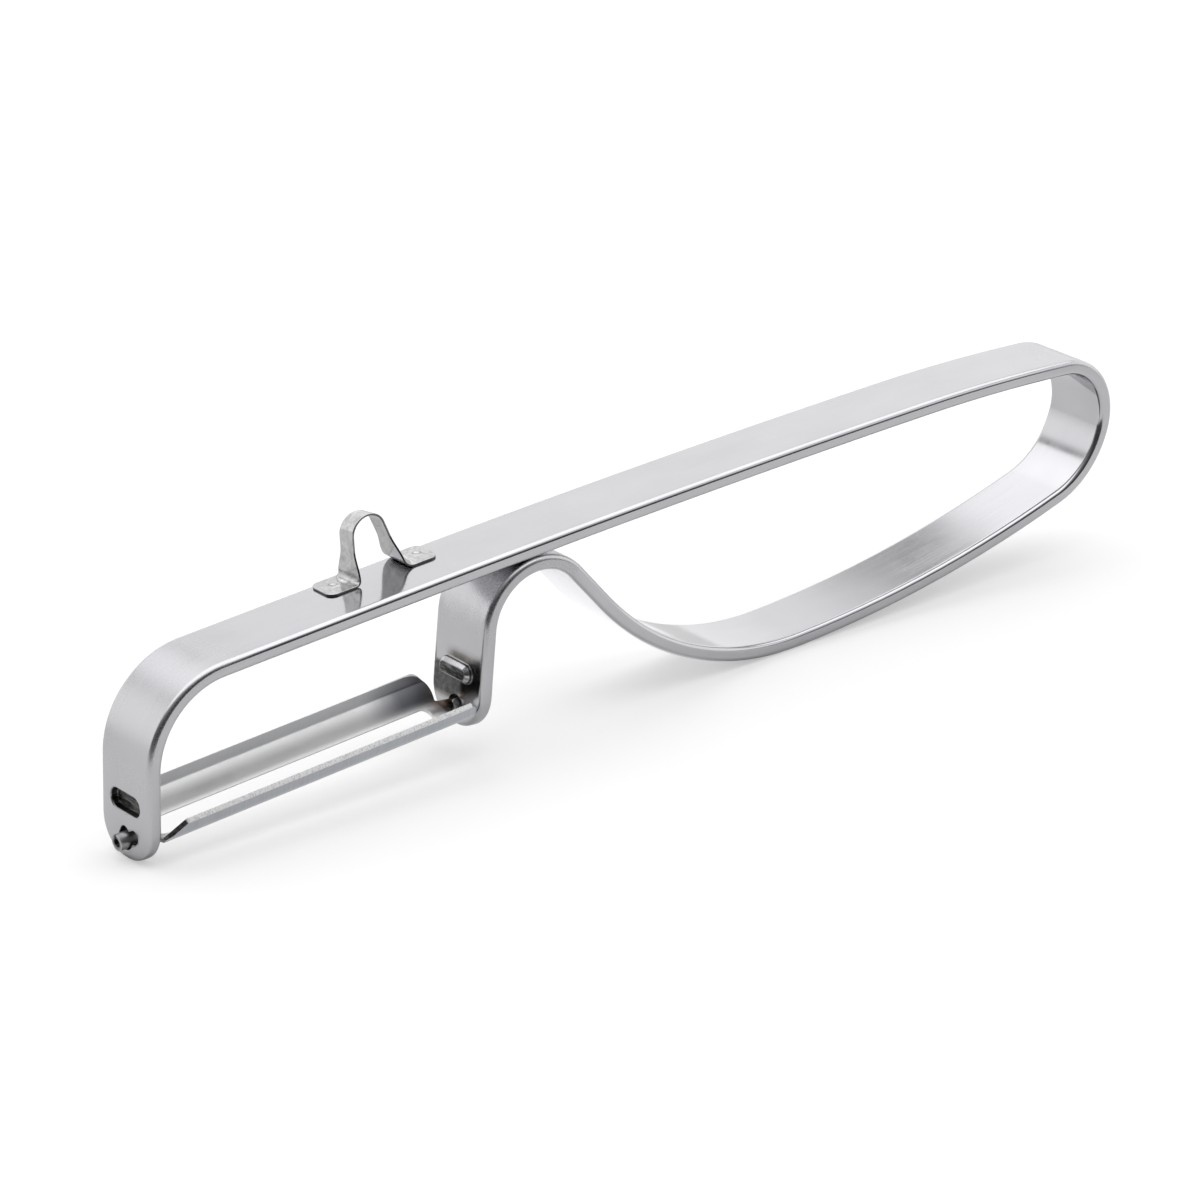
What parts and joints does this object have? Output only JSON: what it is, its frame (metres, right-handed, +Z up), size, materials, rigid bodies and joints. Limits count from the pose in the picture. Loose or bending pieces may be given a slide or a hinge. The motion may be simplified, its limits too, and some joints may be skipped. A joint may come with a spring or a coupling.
{
  "type": "potato peeler",
  "caption": "Potato peeler bent from a steel strip: a fork holds a slotted swivelling blade, the strip loops back as an open handle, and a small loop on top digs out eyes.",
  "frame": {"origin": "on the floor, under the middle of the length, in the strip's middle plane", "axes": "+X along the length from the front leg to the handle's rear bend, +Y across the strip to the edge with the eye remover, +Z up as it stands on its front leg and its belly"},
  "size_m": [0.1712, 0.0111, 0.0366],
  "materials": {
    "strip": "satin-brushed stainless steel, light grey, with rounded bright edges",
    "blade": "satin hardened stainless steel with finely ground rim tops",
    "eye": "bright stainless steel with two spot-weld marks"
  },
  "bodies": {
    "frame": {"frame_strip": "strip", "eye_remover": "eye"},
    "blade": {"swivel_blade": "blade"}
  },
  "joints": [
    {"name": "blade_swivel", "type": "hinge", "parent": "frame", "child": "blade", "pos_m": [-0.0567, 0, 0.00435], "axis": [0.9983, 0, 0.0588], "range_deg": [-40, 0]}
  ]
}
